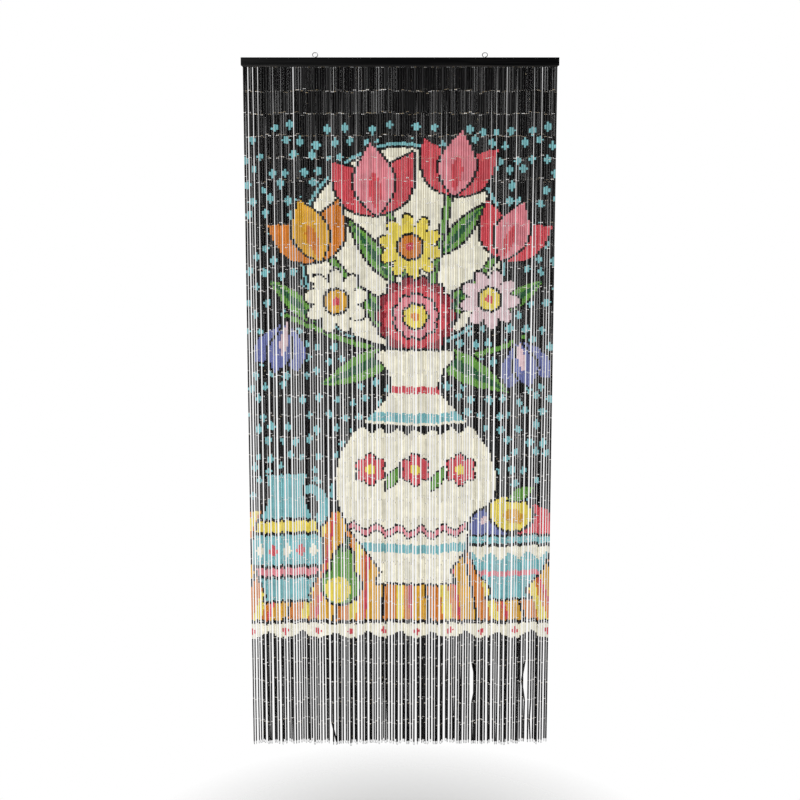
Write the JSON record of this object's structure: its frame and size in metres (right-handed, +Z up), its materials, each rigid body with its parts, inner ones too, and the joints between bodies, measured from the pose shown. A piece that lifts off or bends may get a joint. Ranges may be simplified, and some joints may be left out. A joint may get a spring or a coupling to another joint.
{
  "type": "bead curtain and top rail",
  "caption": "Door curtain of short painted bamboo tubes on wire links under a black wooden top rail with screw eyes, with a flower and fruit design on black.",
  "frame": {"origin": "midway between the screw eyes, at the height where the hooks that carry them touch the inside of each ring at its top", "axes": "+Z up, +X along the rail to the right as seen from the front, -Y out of the curtain's front"},
  "size_m": [0.9, 0.0152, 2.0336],
  "materials": {
    "black_wood": "satin",
    "steel_wire": "satin",
    "painted_bamboo": "gloss"
  },
  "bodies": {
    "root": {"rail": "black_wood", "screw_eye_left": "steel_wire", "screw_eye_right": "steel_wire", "strands": "painted_bamboo"}
  },
  "joints": []
}
